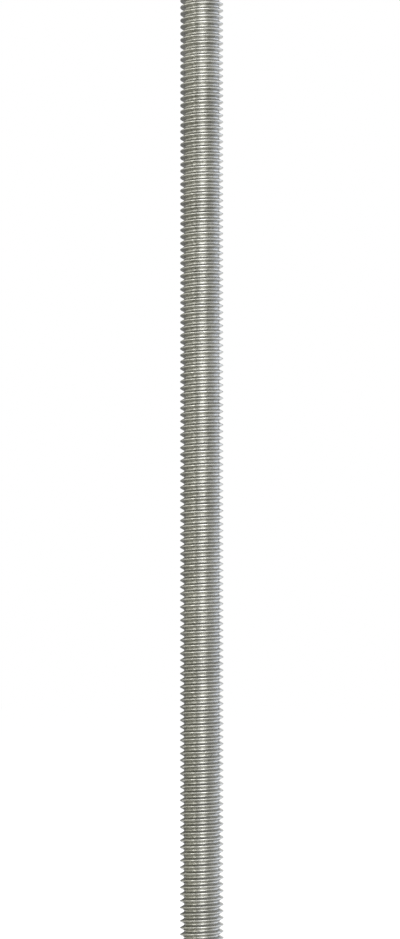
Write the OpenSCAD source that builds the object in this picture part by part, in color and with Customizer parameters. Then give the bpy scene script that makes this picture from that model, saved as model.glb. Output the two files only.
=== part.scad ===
// A threaded rod: one steel bar threaded from end to end, sawn off square and chamfered.
// It stands along +Z, and the origin is the centre of its lower end face.
// The thread has its true 60 degree section and pitch. Its grooves are closed rings here, because
// an exact revolved solid can't climb a helix, so each turn of thread is a crest of its own.

/* [Rod] */
// Length over the two end faces
rod_length = 250; // [20:1:1000]
// Diameter of the flat end faces, inside their chamfers
end_face_d = 7.4; // [5:0.1:7.9]
// Angle between an end chamfer and the rod's axis
chamfer_angle = 45; // [20:1:70]

/* [Thread] */
// Diameter over the crests
major_d = 9.85; // [9.4:0.01:30]
// Distance from one crest to the next
pitch = 1.5; // [0.6:0.05:4]
// Angle between the two flanks of a groove
thread_angle = 60; // [40:1:90]
// Width of the flat left on each crest
crest_flat = 0.2; // [0.05:0.01:1]
// Width of the flat at the bottom of each groove
root_flat = 0.24; // [0.02:0.01:1]

/* [Hidden] */
$fn = 96;

// How far a flank runs along the rod, and how deep that makes the groove
flank_run = (pitch - crest_flat - root_flat) / 2;
thread_depth = flank_run / tan(thread_angle / 2);
major_r = major_d / 2;
root_r = major_r - thread_depth;

// One crest stands at mid-length, and this many more on each side reach past the ends
mid_z = rod_length / 2;
crests_each_way = ceil(mid_z / pitch);

// Root, crest, crest, root: the outline of one turn, with its crest centred on crest_z
function turn_outline(crest_z) = [
    [root_r, crest_z - crest_flat / 2 - flank_run],
    [major_r, crest_z - crest_flat / 2],
    [major_r, crest_z + crest_flat / 2],
    [root_r, crest_z + crest_flat / 2 + flank_run],
];

// Half the section of a threaded bar that is a little too long
thread_outline = [
    [0, mid_z - crests_each_way * pitch - pitch / 2],
    for (turn = [-crests_each_way : crests_each_way])
        each turn_outline(mid_z + turn * pitch),
    [0, mid_z + crests_each_way * pitch + pitch / 2],
];

// Half the section of the two cones that trim the ends: they meet far outside the thread
end_cones_outline = [
    [0, 0],
    [end_face_d / 2, 0],
    [end_face_d / 2 + mid_z * tan(chamfer_angle), mid_z],
    [end_face_d / 2, rod_length],
    [0, rod_length],
];

module rod() {
    color("#8f928c")
        rotate_extrude()
            intersection() {
                polygon(thread_outline);
                polygon(end_cones_outline);
            }
}

rod();
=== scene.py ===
# One steel rod, threaded from end to end and zinc plated, standing on its lower end face.
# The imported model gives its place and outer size, and this script gives it its real thread and finish.
import math

import bmesh
import bpy
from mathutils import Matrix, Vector
import numpy as np


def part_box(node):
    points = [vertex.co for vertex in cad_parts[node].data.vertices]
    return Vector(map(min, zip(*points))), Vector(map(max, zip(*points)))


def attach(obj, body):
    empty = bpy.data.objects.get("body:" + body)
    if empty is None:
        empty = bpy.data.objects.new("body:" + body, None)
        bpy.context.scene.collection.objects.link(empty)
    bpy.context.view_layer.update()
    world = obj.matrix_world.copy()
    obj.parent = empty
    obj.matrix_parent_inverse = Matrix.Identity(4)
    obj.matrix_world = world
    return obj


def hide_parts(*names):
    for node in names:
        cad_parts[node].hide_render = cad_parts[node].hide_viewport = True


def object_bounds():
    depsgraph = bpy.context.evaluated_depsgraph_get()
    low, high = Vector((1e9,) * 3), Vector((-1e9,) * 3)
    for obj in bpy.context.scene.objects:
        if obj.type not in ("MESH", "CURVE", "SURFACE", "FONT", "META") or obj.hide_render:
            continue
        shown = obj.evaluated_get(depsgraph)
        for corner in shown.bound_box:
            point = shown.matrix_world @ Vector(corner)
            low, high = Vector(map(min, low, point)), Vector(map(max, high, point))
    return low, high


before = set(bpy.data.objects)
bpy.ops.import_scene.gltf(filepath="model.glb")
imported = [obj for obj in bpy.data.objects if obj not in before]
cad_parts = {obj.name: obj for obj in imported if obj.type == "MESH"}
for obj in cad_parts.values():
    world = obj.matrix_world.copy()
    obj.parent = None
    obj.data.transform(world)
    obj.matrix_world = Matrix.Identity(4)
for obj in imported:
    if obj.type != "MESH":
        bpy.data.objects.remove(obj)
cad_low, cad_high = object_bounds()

# --- The rod -------------------------------------------------------------------------------
# A low-carbon steel bar with a coarse right-hand metric thread along its whole length. The
# thread is rolled: two dies press the grooves in and the metal between them swells up into
# crests. The bar is then sawn to length and each end is chamfered so that a nut will start.
mm = 0.001  # lengths are in metres, like the frame's
rod_low, rod_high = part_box("rod")
rod_length = rod_high.z - rod_low.z
crest_radius = min(rod_high.x - rod_low.x, rod_high.y - rod_low.y) / 2
pitch = 1.5 * mm
flank_lean = 30  # degrees between a flank and the plane square to the axis
crest_flat = 0.20 * mm
crest_edge_radius = 0.08 * mm
root_flat = 0.24 * mm  # width between the flanks at the bottom, which one arc fills
end_face_radius = 3.7 * mm
cone_reach = 1.5  # each chamfer's cone runs on past the crests, by half its own width again
thread_start = math.radians(168)  # from +X, where round the rod a crest is level with the lower end
rolling_wave = 0.03 * mm  # how far a crest or a root swells and sinks along the thread
waves_a_turn = (4.37, 7.71, 11.13)

# How finely the thread is made, and how many turns are made past each end and cut off
sides_round = 48
crest_edge_faces = 2
root_faces = 5
spare_turns = 2

# The finish map lays the surface out flat, with the thread in strips and the two ends above it
map_columns = 2
map_thread_share = 0.90  # the thread's part of the map's height
end_map_size = 0.09
lower_end_on_map = 0.25
upper_end_on_map = 0.75

flank_angle = math.radians(flank_lean)
thread_depth = (pitch - crest_flat - root_flat) / 2 / math.tan(flank_angle)
root_radius = root_flat / 2 / math.tan(flank_angle)


def arc(centre, radius, first, last, steps):
    """Points (along, out) on an arc. Its angles are in degrees: 0 is along the rod and 90 outwards."""
    angles = [math.radians(first + (last - first) * i / steps) for i in range(steps + 1)]
    return [(centre[0] + radius * math.cos(a), centre[1] + radius * math.sin(a)) for a in angles]


def turn_section():
    """One turn of the thread's section: round one crest from its lower flank, then round the root above."""
    outwards = 90
    inwards = 270
    to_flank = 90 - flank_lean
    edge_in = crest_flat / 2 - crest_edge_radius * math.tan(flank_angle)
    edge_out = crest_radius - crest_edge_radius
    root_centre = (pitch / 2, crest_radius - thread_depth + root_radius)
    return (
        arc((-edge_in, edge_out), crest_edge_radius, outwards + to_flank, outwards, crest_edge_faces)
        + arc((edge_in, edge_out), crest_edge_radius, outwards, outwards - to_flank, crest_edge_faces)
        + arc(root_centre, root_radius, inwards - to_flank, inwards + to_flank, root_faces)
    )


def unroll_thread(mesh, section, turns, faces_a_side):
    """Lay the thread out flat on the finish map: each turn is a strip, and strips fill columns."""
    per_turn = len(section)
    ends = section[1:] + [(section[0][0] + pitch, section[0][1])]
    # The square root leaves the narrow faces of a crest's edge room to show their finish
    steps = [math.dist(here, there) ** 0.5 for here, there in zip(section, ends)]
    up_strip = np.concatenate([[0], np.cumsum(steps)]) / sum(steps)
    rows = math.ceil(turns / map_columns)
    places = []
    for side, count in enumerate(faces_a_side):
        turn, step = np.divmod(np.arange(count), per_turn)
        left = (turn % map_columns + side / sides_round) / map_columns
        right = left + 1 / sides_round / map_columns
        low = (turn // map_columns + up_strip[step]) / rows * map_thread_share
        high = (turn // map_columns + up_strip[step + 1]) / rows * map_thread_share
        corners = [(left, low), (right, low), (right, high), (left, high)]
        places.append(np.stack([np.stack(corner, axis=1) for corner in corners], axis=1))
    finish_map = mesh.uv_layers.new(name="OFBake")
    finish_map.data.foreach_set("uv", np.concatenate(places).ravel())


def threaded_bar():
    """Thread a bar a few turns longer than the rod. Rows of faces wind up it, a pitch for each turn."""
    section = turn_section()
    per_turn = len(section)
    turns = math.ceil(rod_length / pitch) + 2 * spare_turns
    along = np.array([z + pitch * t for t in range(turns) for z, _ in section])
    out = np.array([r for _ in range(turns) for _, r in section])
    turned = np.arange(sides_round) / sides_round
    angle = thread_start + 2 * math.pi * turned
    # The waves run on along the thread from turn to turn, and only ever take metal away
    travelled = turned[:, None] + np.repeat(np.arange(turns), per_turn)
    share_out = (out - out.min()) / (out.max() - out.min())
    sunk = np.zeros(travelled.shape)
    for number, waves in enumerate(waves_a_turn):
        swing = 2 * math.pi * waves * travelled + number + math.pi * share_out
        sunk += (1 + np.sin(swing)) / 2 / len(waves_a_turn)
    radius = out - rolling_wave * sunk
    points = np.empty((sides_round, len(along), 3))
    points[..., 0] = np.cos(angle)[:, None] * radius
    points[..., 1] = np.sin(angle)[:, None] * radius
    points[..., 2] = rod_low.z - spare_turns * pitch + along + pitch * turned[:, None]
    index = np.arange(points.shape[0] * points.shape[1]).reshape(points.shape[:2])
    faces = []
    for side in range(sides_round):
        # The last side joins the first, one turn further up
        here, there = index[side], index[(side + 1) % sides_round]
        if side == sides_round - 1:
            there = there[per_turn:]
        count = min(len(here), len(there)) - 1
        here, there = here[: count + 1], there[: count + 1]
        faces.append(np.stack([here[:-1], there[:-1], there[1:], here[1:]], axis=1))
    mesh = bpy.data.meshes.new("threaded_bar")
    mesh.from_pydata(points.reshape(-1, 3).tolist(), [], np.concatenate(faces).tolist())
    unroll_thread(mesh, section, turns, [len(part) for part in faces])
    bm = bmesh.new()
    bm.from_mesh(mesh)
    open_edges = [edge for edge in bm.edges if edge.is_boundary]
    bmesh.ops.holes_fill(bm, edges=open_edges, sides=0)
    bmesh.ops.recalc_face_normals(bm, faces=bm.faces)
    if bm.calc_volume(signed=True) < 0:
        bmesh.ops.reverse_faces(bm, faces=bm.faces)
    bm.to_mesh(mesh)
    bm.free()
    return mesh


def sawn_blank():
    """The rod's outer form without its thread: flat ends and a 45 degree cone up to each."""
    cone = cone_reach * (crest_radius - end_face_radius)
    outline = [
        (0, rod_low.z),
        (end_face_radius, rod_low.z),
        (end_face_radius + cone, rod_low.z + cone),
        (end_face_radius + cone, rod_high.z - cone),
        (end_face_radius, rod_high.z),
        (0, rod_high.z),
    ]
    bm = bmesh.new()
    line = [bm.verts.new((r, 0, z)) for r, z in outline]
    edges = [bm.edges.new(pair) for pair in zip(line, line[1:])]
    bmesh.ops.spin(
        bm, geom=line + edges, cent=(0, 0, 0), axis=(0, 0, 1), angle=2 * math.pi, steps=2 * sides_round
    )
    same_point = 0.001 * mm
    bmesh.ops.remove_doubles(bm, verts=bm.verts, dist=same_point)
    bmesh.ops.recalc_face_normals(bm, faces=bm.faces)
    finish_map = bm.loops.layers.uv.new("OFBake")
    map_row = (1 + map_thread_share) / 2
    for face in bm.faces:
        upper_end = face.calc_center_median().z > rod_low.z + rod_length / 2
        map_column = upper_end_on_map if upper_end else lower_end_on_map
        for corner in face.loops:
            x, y = (corner.vert.co.x, corner.vert.co.y)
            across, up = (end_map_size * part / (2 * crest_radius) for part in (x, y))
            corner[finish_map].uv = (map_column + across, map_row + up)
    mesh = bpy.data.meshes.new("sawn_blank")
    bm.to_mesh(mesh)
    bm.free()
    return mesh


def add_object(name, data):
    made = bpy.data.objects.new(name, data)
    bpy.context.scene.collection.objects.link(made)
    return made


# The rod is what the threaded bar and the sawn blank have in common
bar = add_object("bar", threaded_bar())
blank = add_object("blank", sawn_blank())
trim = bar.modifiers.new("trim", "BOOLEAN")
trim.operation = "INTERSECT"
trim.solver = "MANIFOLD"
trim.object = blank
finished = bpy.data.meshes.new_from_object(bar.evaluated_get(bpy.context.evaluated_depsgraph_get()))
bpy.data.objects.remove(bar)
bpy.data.objects.remove(blank)

# Where the chamfer runs along a groove the cut leaves slivers, which are closed up
weld = 0.004 * mm
bm = bmesh.new()
bm.from_mesh(finished)
bmesh.ops.remove_doubles(bm, verts=bm.verts, dist=weld)
bmesh.ops.dissolve_degenerate(bm, edges=bm.edges, dist=weld)
many_sided = [face for face in bm.faces if len(face.verts) > 4]
bmesh.ops.triangulate(bm, faces=many_sided)
bm.to_mesh(finished)
bm.free()
sharp_edge = math.radians(40)
finished.shade_smooth()
finished.set_sharp_from_angle(angle=sharp_edge)
rod = add_object("threaded_rod", finished)
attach(rod, "root")
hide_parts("rod")


# Mild steel electroplated with zinc: a thin coat of white metal that has dulled to a soft grey. It
# is about as bright on the crests as in the roots. The flanks between them are a little duller, and
# their darker colour is also painted shade that deepens the grooves.
# Rolling leaves faint streaks and ripples along the thread, and the plating is finely flecked.
def linear(hex_colour):
    """An sRGB hex colour as the linear red, green, blue and alpha that shaders take."""
    channels = [int(hex_colour[i : i + 2], 16) / 255 for i in (1, 3, 5)]
    straight = [c / 12.92 if c <= 0.04045 else ((c + 0.055) / 1.055) ** 2.4 for c in channels]
    return (*straight, 1.0)


def add_node(tree, kind, inputs=None, **settings):
    """A shader node with its settings, and each of its inputs linked to a socket or given a value."""
    made = tree.nodes.new("ShaderNode" + kind)
    for setting, value in settings.items():
        setattr(made, setting, value)
    for socket, value in (inputs or {}).items():
        if isinstance(value, bpy.types.NodeSocket):
            tree.links.new(value, made.inputs[socket])
        else:
            made.inputs[socket].default_value = value
    return made


crest_colour = "#B8B8B4"
# The flanks' colour is darker partly as painted shade in the grooves, on top of their duller plating
flank_colour_with_painted_shade = "#A6A6A2"
root_colour = "#B9B9B5"
# Where up the groove each tone has its full strength, with 0 at the bottom and 1 at the crest
root_tone_height = 0.04
flank_tone_heights = (0.22, 0.80)
crest_tone_height = 0.97
# The length round the rod and the width up it of each mark, and how many finer layers it has
rolled_marks = {
    "streaks": (2.5 * mm, 0.10 * mm, 2),
    "ripples": (1.6 * mm, 0.40 * mm, 1),
    "flecks": (0.7 * mm, 0.30 * mm, 0),  # the plating's own grain is finer, drawn coarser to show
}
ripple_height = 0.04 * mm
fleck_height = 0.03 * mm
blotch_size = 6 * mm
blotch_layers = 3
# Streaks and blotches add up to about 1. The first is how far from it they mostly stray, and the
# second is how much that lightens or darkens the metal.
tone_spread = 0.25
tone_change = 0.09
# Most of the flecks' pattern lies in the first range, and sets the roughness over the second
fleck_range = (0.3, 0.7)
roughness_range = (0.19, 0.31)

zinc = bpy.data.materials.new("zinc_plated_steel")
zinc.use_nodes = True
tree = zinc.node_tree
shader = tree.nodes["Principled BSDF"]
place = add_node(tree, "TexCoord").outputs["Object"]
across = add_node(tree, "VectorMath", {0: place, 1: (1, 1, 0)}, operation="MULTIPLY")
radius = add_node(tree, "VectorMath", {0: across.outputs["Vector"]}, operation="LENGTH")
height = add_node(
    tree,
    "MapRange",
    {
        "Value": radius.outputs["Value"],
        "From Min": crest_radius - thread_depth,
        "From Max": crest_radius,
    },
)
by_height = add_node(tree, "ValToRGB", {"Fac": height.outputs["Result"]})
tones = by_height.color_ramp.elements
tones[0].position = root_tone_height
tones[0].color = linear(root_colour)
tones[1].position = crest_tone_height
tones[1].color = linear(crest_colour)
for flank_tone_height in flank_tone_heights:
    tones.new(flank_tone_height).color = linear(flank_colour_with_painted_shade)

blotches = add_node(
    tree, "TexNoise", {"Vector": place, "Scale": 1 / blotch_size, "Detail": blotch_layers}
)
marks = {}
for mark, (length, width, layers) in rolled_marks.items():
    drawn_out = add_node(
        tree, "VectorMath", {0: place, 1: (1 / length, 1 / length, 1 / width)}, operation="MULTIPLY"
    )
    noise = add_node(
        tree, "TexNoise", {"Vector": drawn_out.outputs["Vector"], "Scale": 1.0, "Detail": layers}
    )
    marks[mark] = noise.outputs["Fac"]

tone = add_node(tree, "Math", {0: marks["streaks"], 1: blotches.outputs["Fac"]}, operation="ADD")
brightness = add_node(
    tree,
    "MapRange",
    {
        "Value": tone.outputs["Value"],
        "From Min": 1 - tone_spread,
        "From Max": 1 + tone_spread,
        "To Min": 1 - tone_change,
        "To Max": 1 + tone_change,
    },
)
coloured = add_node(
    tree,
    "VectorMath",
    {0: by_height.outputs["Color"], "Scale": brightness.outputs["Result"]},
    operation="SCALE",
)
tree.links.new(coloured.outputs["Vector"], shader.inputs["Base Color"])
shader.inputs["Metallic"].default_value = 1.0
roughness = add_node(
    tree,
    "MapRange",
    {
        "Value": marks["flecks"],
        "From Min": fleck_range[0],
        "From Max": fleck_range[1],
        "To Min": roughness_range[0],
        "To Max": roughness_range[1],
    },
)
tree.links.new(roughness.outputs["Result"], shader.inputs["Roughness"])
ripple_bump = add_node(
    tree, "Bump", {"Height": marks["ripples"], "Strength": 1.0, "Distance": ripple_height}
)
fleck_bump = add_node(
    tree,
    "Bump",
    {
        "Height": marks["flecks"],
        "Strength": 1.0,
        "Distance": fleck_height,
        "Normal": ripple_bump.outputs["Normal"],
    },
)

# The two end faces carry the straight, slightly wandering marks of the saw that cut the rod
saw_mark_spacing = 0.35 * mm  # a saw leaves finer marks than this, drawn coarser so that they show
saw_mark_depth = 0.010 * mm
saw_mark_wander = 0.8
saw_mark_wander_scale = 0.3
wave_repeat = 0.314  # how far apart the texture's waves are at a scale of 1
least_upright = 0.98  # an end face points at least this nearly straight up or down

facing = add_node(tree, "SeparateXYZ", {0: add_node(tree, "TexCoord").outputs["Normal"]})
upright = add_node(tree, "Math", {0: facing.outputs["Z"]}, operation="ABSOLUTE")
on_end_face = add_node(
    tree, "Math", {0: upright.outputs["Value"], 1: least_upright}, operation="GREATER_THAN"
)
saw_marks = add_node(
    tree,
    "TexWave",
    {
        "Vector": place,
        "Scale": wave_repeat / saw_mark_spacing,
        "Distortion": saw_mark_wander,
        "Detail": 0.0,
        "Detail Scale": saw_mark_wander_scale,
    },
    wave_type="BANDS",
    bands_direction="X",
)
saw_bump = add_node(
    tree,
    "Bump",
    {
        "Height": saw_marks.outputs["Fac"],
        "Strength": on_end_face.outputs["Value"],
        "Distance": saw_mark_depth,
        "Normal": fleck_bump.outputs["Normal"],
    },
)
tree.links.new(saw_bump.outputs["Normal"], shader.inputs["Normal"])
finished.materials.clear()
finished.materials.append(zinc)

# --- The studio ----------------------------------------------------------------------------
# A white sheet that the rod stands on. Its far edge doesn't show, as the room behind it is just as
# white to the eye, and its matt part still takes the rod's shadow.
paper_half_width = 6.0
paper_colour = "#FFFFFF"
paper_glow_share = 0.35
paper_corners = [
    (-paper_half_width, -paper_half_width, 0),
    (paper_half_width, -paper_half_width, 0),
    (paper_half_width, paper_half_width, 0),
    (-paper_half_width, paper_half_width, 0),
]
paper_mesh = bpy.data.meshes.new("white_paper")
paper_mesh.from_pydata(paper_corners, [], [(0, 1, 2, 3)])
paper = add_object("white_paper", paper_mesh)

# The glow is there for what the eye sees, directly or in metal or glass, and lights nothing
sheet = bpy.data.materials.new("matt_white_paper")
sheet.use_nodes = True
tree = sheet.node_tree
tree.nodes.clear()
ray = add_node(tree, "LightPath").outputs
mirrored = add_node(
    tree, "Math", {0: ray["Is Glossy Ray"], 1: ray["Is Transmission Ray"]}, operation="MAXIMUM"
)
seen = add_node(
    tree, "Math", {0: ray["Is Camera Ray"], 1: mirrored.outputs["Value"]}, operation="MAXIMUM"
)
glow_part = add_node(
    tree, "Math", {0: seen.outputs["Value"], 1: paper_glow_share}, operation="MULTIPLY"
)
matt = add_node(tree, "BsdfDiffuse", {"Color": linear(paper_colour)})
glow = add_node(tree, "Emission", {"Color": linear("#FFFFFF"), "Strength": 1.0})
paper_look = add_node(
    tree,
    "MixShader",
    {0: glow_part.outputs["Value"], 1: matt.outputs["BSDF"], 2: glow.outputs["Emission"]},
)
add_node(tree, "OutputMaterial", {"Surface": paper_look.outputs["Shader"]})
paper_mesh.materials.append(sheet)

# The room beyond the sheet. It is the same plain white to the eye, in the metal and as light, so it
# is the background, shows in the plating and fills in the shadows.
room_level = 1.0
room = bpy.data.worlds.new("white_room")
bpy.context.scene.world = room
room.use_nodes = True
tree = room.node_tree
tree.nodes.clear()
air = add_node(tree, "Background", {"Color": linear("#FFFFFF"), "Strength": room_level})
add_node(tree, "OutputWorld", {"Surface": air.outputs["Background"]})

# Screens that stand round the rod and show only in its metal. A warm grey wall goes round the left
# and front, with a dark foot on the sheet at the left and a pale one in front. Behind, a dark flag
# and its foot on the left and a narrow flag on the right draw the rod's edges against the white.
wall_distance = 1.8
wall_height = 2.4
flag_distance = 1.5
flag_height = 1.1
off_floor = 0.01
screen_panels = 24


def curved_screen(name, azimuths, lower, upper, brightness, colour):
    """An even screen between two arcs, each a distance and a level. Azimuth 0 is front, 90 right."""
    corners, panels = [], []
    for step in range(screen_panels + 1):
        turn = math.radians(azimuths[0] + (azimuths[1] - azimuths[0]) * step / screen_panels)
        for distance, level in (lower, upper):
            corners.append((math.sin(turn) * distance, -math.cos(turn) * distance, level))
        if step:
            panels.append((2 * step - 2, 2 * step, 2 * step + 1, 2 * step - 1))
    screen_mesh = bpy.data.meshes.new(name)
    screen_mesh.from_pydata(corners, [], panels)
    screen = add_object(name, screen_mesh)
    screen.visible_camera = False
    screen.visible_diffuse = False
    screen.visible_shadow = False
    cloth = bpy.data.materials.new(name + "_cloth")
    cloth.use_nodes = True
    cloth.node_tree.nodes.clear()
    even = add_node(cloth.node_tree, "Emission", {"Color": linear(colour), "Strength": brightness})
    add_node(cloth.node_tree, "OutputMaterial", {"Surface": even.outputs["Emission"]})
    screen_mesh.materials.append(cloth)


wall_foot, wall_top = (wall_distance, off_floor), (wall_distance, wall_height)
flag_foot, flag_top = (flag_distance, off_floor), (flag_distance, flag_height)
by_the_rod, out_on_the_sheet = (0.03, 0.004), (0.45, 0.006)
behind_the_rod = (0.10, 0.004)
curved_screen("grey_wall", (-178, 62), wall_foot, wall_top, 0.69, "#FFFEEC")
curved_screen("grey_wall_foot", (-128, -30), by_the_rod, out_on_the_sheet, 0.48, "#FFFEEC")
curved_screen("front_foot", (-30, 57), by_the_rod, out_on_the_sheet, 0.80, "#FFFFFF")
curved_screen("dark_flag", (-180, -136), flag_foot, flag_top, 0.25, "#FFFFFF")
curved_screen("dark_flag_foot", (-180, -128), behind_the_rod, flag_foot, 0.32, "#FFFFFF")
curved_screen("right_edge_flag", (144, 154), flag_foot, flag_top, 0.45, "#F4F8FF")

# Soft boxes round the rod, each an even sheet of light. The key and its wide spread are almost
# straight ahead, a second bright one is on the left, and weaker ones fill in from the sides, from
# above and from behind. Those on the right are cooler than those on the left.
lamp_distance = 1.3
rod_middle = Vector(
    ((cad_low[0] + cad_high[0]) / 2, (cad_low[1] + cad_high[1]) / 2, rod_low.z + rod_length / 2)
)


def soft_box(name, azimuth, elevation, width, height, radiance, colour):
    """A lamp of even brightness that faces the rod."""
    turn, lift = math.radians(azimuth), math.radians(elevation)
    way = Vector(
        (math.sin(turn) * math.cos(lift), -math.cos(turn) * math.cos(lift), math.sin(lift))
    )
    data = bpy.data.lights.new(name, "AREA")
    data.shape = "RECTANGLE"
    data.size = width
    data.size_y = height
    data.energy = radiance * math.pi * width * height
    data.color = linear(colour)[:3]
    lamp = add_object(name, data)
    lamp.location = rod_middle + way * lamp_distance
    lamp.rotation_euler = (-way).to_track_quat("-Z", "Y").to_euler()
    lamp.visible_camera = False


# In front
soft_box("key", 5, 4, 0.62, 0.80, 3.2, "#FFFFFF")
soft_box("key_spread", 4, 8, 1.50, 1.10, 1.46, "#FCFCFF")
# Low, to the sides
soft_box("left", -50, 6, 0.46, 0.52, 3.0, "#FFFEFA")
soft_box("low_left", -85, 12, 0.60, 0.50, 0.8, "#FFFBF0")
soft_box("right_front", 52, -3, 0.50, 0.60, 0.6, "#E4EEFF")
# High up, in front, at the side and behind
soft_box("high_front", 12, 42, 1.00, 0.60, 0.5, "#FFFEF0")
soft_box("high_left", -80, 70, 0.90, 0.90, 0.3, "#FFFFFA")
soft_box("high_back_left", -115, 42, 0.70, 0.50, 0.8, "#FFFFFF")
soft_box("high_back_right", 150, 40, 0.80, 0.50, 0.6, "#D4E4FF")
# On the right, a little behind, for the cool edge there
soft_box("right_back", 110, 6, 1.10, 0.70, 1.1, "#CEDDFF")

# --- The camera ----------------------------------------------------------------------------
# A long lens straight ahead of the rod, about a third of the way up it and tipped slightly upwards.
# It sees most of the rod's length, and neither of its ends.
lens_length = 137.0
film_width = 36.0
eye_place = (-0.0004, -0.8073, 0.080)
upward_tilt = 3.13
eye = bpy.data.cameras.new("camera")
eye.lens = lens_length
eye.sensor_width = film_width
camera = add_object("camera", eye)
camera.location = eye_place
camera.rotation_euler = (math.radians(90 + upward_tilt), 0, 0)
bpy.context.scene.camera = camera
bpy.context.scene.view_settings.view_transform = "Standard"
